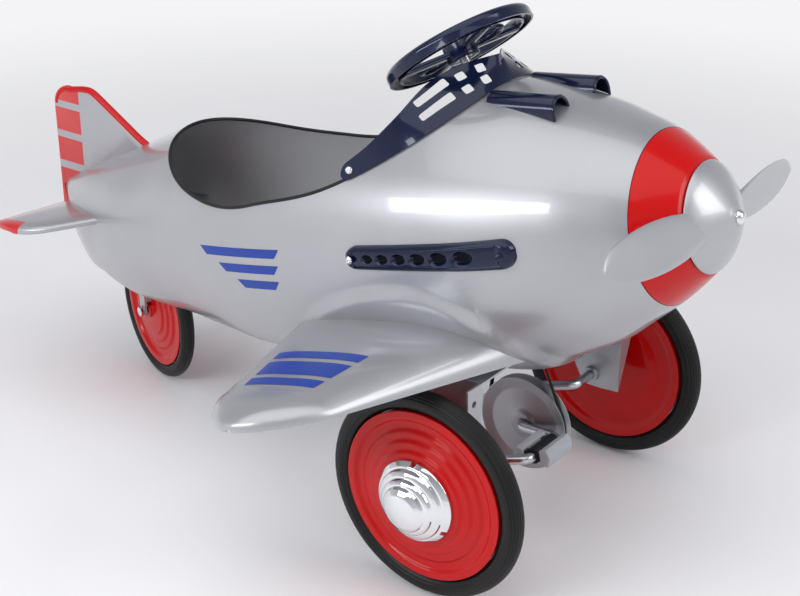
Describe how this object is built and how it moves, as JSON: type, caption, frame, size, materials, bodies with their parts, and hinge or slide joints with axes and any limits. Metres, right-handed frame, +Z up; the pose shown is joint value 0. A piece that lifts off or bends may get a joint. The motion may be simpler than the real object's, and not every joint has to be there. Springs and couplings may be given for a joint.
{
  "type": "pedal plane",
  "caption": "Child's pressed-steel pedal plane with open cockpit, crank-driven front wheels, belt-driven propeller and steered tail wheel.",
  "frame": {"origin": "on the floor under the middle of the bounding box", "axes": "+X to the nose, +Y to the left wing tip, +Z up"},
  "size_m": [1.0482, 0.8098, 0.6292],
  "materials": {
    "silver_paint": "silver metallic gloss enamel on pressed steel",
    "red_paint": "bright red gloss enamel",
    "blue_paint": "dark blue metallic gloss enamel",
    "chrome_plate": "bright chrome plating",
    "black_rubber": "solid black rubber with fine ribs",
    "zinc_steel": "satin bare steel",
    "bronze": "plain oiled bush metal",
    "grey_rubber": "light grey ribbed rubber",
    "belt_rubber": "black round belt"
  },
  "bodies": {
    "airframe": {"fuselage_right": "silver_paint", "fuselage_left": "silver_paint", "nose_cowl": "red_paint", "nose_bush": "bronze", "wing_right": "silver_paint", "wing_left": "silver_paint", "stabilizer_right": "silver_paint", "stabilizer_left": "silver_paint", "tail_fin": "silver_paint", "windshield": "blue_paint", "windshield_screws": "chrome_plate", "gun_trough_right": "blue_paint", "gun_trough_left": "blue_paint", "exhaust_right": "blue_paint", "exhaust_left": "blue_paint", "exhaust_screws": "chrome_plate", "axle_hanger_right": "silver_paint", "axle_hanger_left": "silver_paint", "axle_bushes": "zinc_steel", "drive_belt": "belt_rubber", "shaft_bearer": "zinc_steel", "shaft_bush": "bronze", "dash_bar": "zinc_steel", "column_foot": "zinc_steel", "head_tube": "zinc_steel", "tail_bearers": "zinc_steel", "seat_pan": "zinc_steel", "seat_bars": "zinc_steel"},
    "crank": {"crank_axle": "chrome_plate", "drive_pulley": "zinc_steel", "front_wheel_right": "red_paint", "front_tyre_right": "black_rubber", "hubcap_right": "chrome_plate"},
    "left_wheel": {"front_wheel_left": "red_paint", "front_tyre_left": "black_rubber", "hubcap_left": "chrome_plate"},
    "right_pedal": {"pedal_core_right": "zinc_steel", "pedal_blocks_right": "grey_rubber"},
    "left_pedal": {"pedal_core_left": "zinc_steel", "pedal_blocks_left": "grey_rubber"},
    "propeller_set": {"propeller": "silver_paint", "spinner_nut": "chrome_plate", "propeller_shaft": "zinc_steel", "shaft_pulley": "zinc_steel"},
    "steering": {"steering_wheel": "blue_paint", "steering_nut": "chrome_plate", "steering_column": "zinc_steel"},
    "link": {"tie_rod": "zinc_steel"},
    "fork": {"tail_fork": "silver_paint", "fork_arm": "zinc_steel", "tail_axle": "chrome_plate"},
    "tail_roller": {"tail_wheel": "red_paint", "tail_tyre": "black_rubber"}
  },
  "joints": [
    {"name": "crank_spin", "type": "hinge", "parent": "airframe", "child": "crank", "pos_m": [0.269, 0, 0.127], "axis": [0, 1, 0], "continuous": true},
    {"name": "left_wheel_spin", "type": "hinge", "parent": "crank", "child": "left_wheel", "pos_m": [0.269, 0.2, 0.127], "axis": [0, 1, 0], "continuous": true},
    {"name": "right_pedal_spin", "type": "hinge", "parent": "crank", "child": "right_pedal", "pos_m": [0.32657, -0.053, 0.13407], "axis": [0, 1, 0], "continuous": true},
    {"name": "left_pedal_spin", "type": "hinge", "parent": "crank", "child": "left_pedal", "pos_m": [0.21143, 0.053, 0.11993], "axis": [0, 1, 0], "continuous": true},
    {"name": "propeller_spin", "type": "hinge", "parent": "airframe", "child": "propeller_set", "pos_m": [0.524, 0, 0.454], "axis": [0.9724, 0, 0.2334], "continuous": true},
    {"name": "steering_turn", "type": "hinge", "parent": "airframe", "child": "steering", "pos_m": [0.162, 0, 0.571], "axis": [-0.6138, 0.0785, 0.7856], "range_deg": [-38, 2]},
    {"name": "link_turn", "type": "hinge", "parent": "steering", "child": "link", "pos_m": [0.31965, 0.01254, 0.34922], "axis": [-0.6138, 0.0785, 0.7856], "range_deg": [-2, 38]},
    {"name": "fork_turn", "type": "hinge", "parent": "airframe", "child": "fork", "pos_m": [-0.348, 0, 0.2332], "axis": [0, 0, 1], "range_deg": [-2, 38]},
    {"name": "tail_wheel_spin", "type": "hinge", "parent": "fork", "child": "tail_roller", "pos_m": [-0.348, 0, 0.1016], "axis": [0.342, 0.9397, 0], "continuous": true}
  ],
  "couplings": [
    {"joint": "propeller_spin", "follows": "crank_spin", "ratio": 3.906},
    {"joint": "link_turn", "follows": "steering_turn", "ratio": -1},
    {"joint": "fork_turn", "follows": "steering_turn", "ratio": -1}
  ]
}
